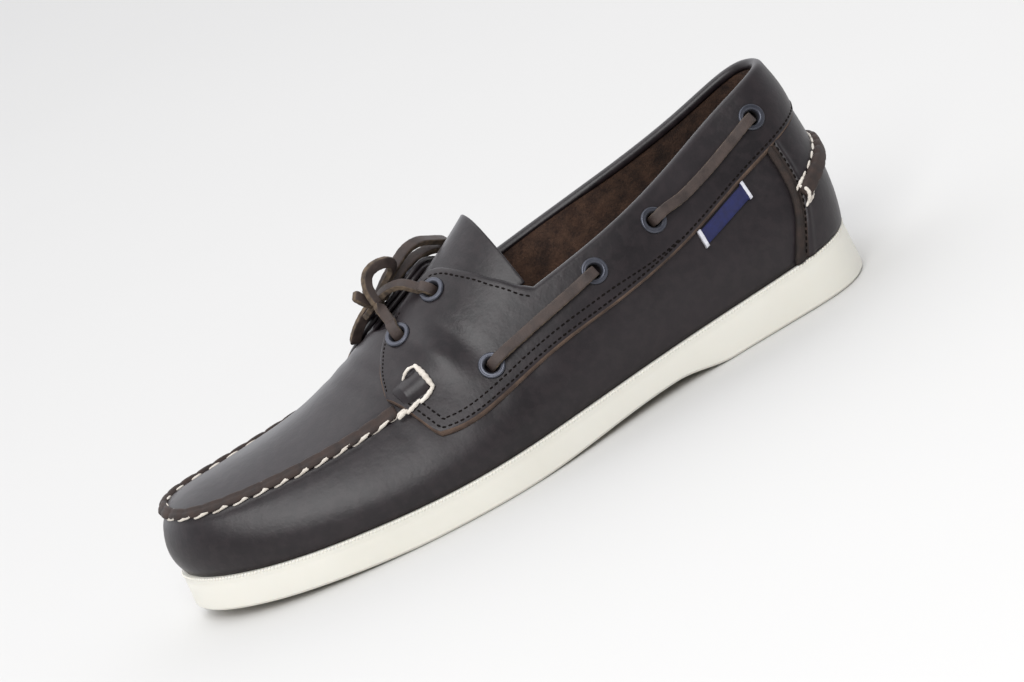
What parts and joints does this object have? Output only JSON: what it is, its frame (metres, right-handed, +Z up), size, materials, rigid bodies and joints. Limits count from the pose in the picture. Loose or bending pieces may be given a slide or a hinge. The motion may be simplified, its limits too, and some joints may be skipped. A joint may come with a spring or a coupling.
{
  "type": "boat shoe",
  "caption": "Left moccasin boat shoe: cup sole with heel block, hollow leather upper with raised toe seam, tongue, side-laced collar band and tied bow.",
  "frame": {"origin": "on the floor, under the middle of the shoe's box", "axes": "+X from toe to heel, +Y to the wearer's right (the medial side of this left shoe), +Z up"},
  "size_m": [0.2978, 0.1048, 0.0906],
  "materials": {
    "sole_rubber": "matte ivory rubber",
    "leather": "waxed dark brown leather, satin",
    "lining": "brown suede lining, matte",
    "lace_leather": "taupe brown rawhide lace, matte",
    "eyelet_metal": "gunmetal grey lacquered eyelets, satin",
    "woven_tab": "navy woven tab with pale ends, bare"
  },
  "bodies": {
    "root": {"outsole": "sole_rubber", "insole": "lining", "upper": "leather", "tongue": "leather", "saddle_collar": "leather", "heel_counter": "leather", "moc_seam": "leather", "heel_seam": "leather", "eyelet_lateral_throat_rear": "eyelet_metal", "eyelet_lateral_throat_front": "eyelet_metal", "eyelet_lateral_side_1": "eyelet_metal", "eyelet_lateral_side_2": "eyelet_metal", "eyelet_lateral_side_3": "eyelet_metal", "eyelet_lateral_side_4": "eyelet_metal", "eyelet_medial_throat_rear": "eyelet_metal", "eyelet_medial_throat_front": "eyelet_metal", "eyelet_medial_side_1": "eyelet_metal", "eyelet_medial_side_2": "eyelet_metal", "eyelet_medial_side_3": "eyelet_metal", "eyelet_medial_side_4": "eyelet_metal", "lace_lateral_run_1": "lace_leather", "lace_lateral_run_2": "lace_leather", "lace_medial_run_1": "lace_leather", "lace_medial_run_2": "lace_leather", "lace_crossing": "lace_leather", "bow_knot": "lace_leather", "bow_ring": "lace_leather", "bow_loop_rear": "lace_leather", "bow_loop_front": "lace_leather", "bow_end_front": "lace_leather", "bow_end_medial": "lace_leather", "side_label": "woven_tab"}
  },
  "joints": []
}
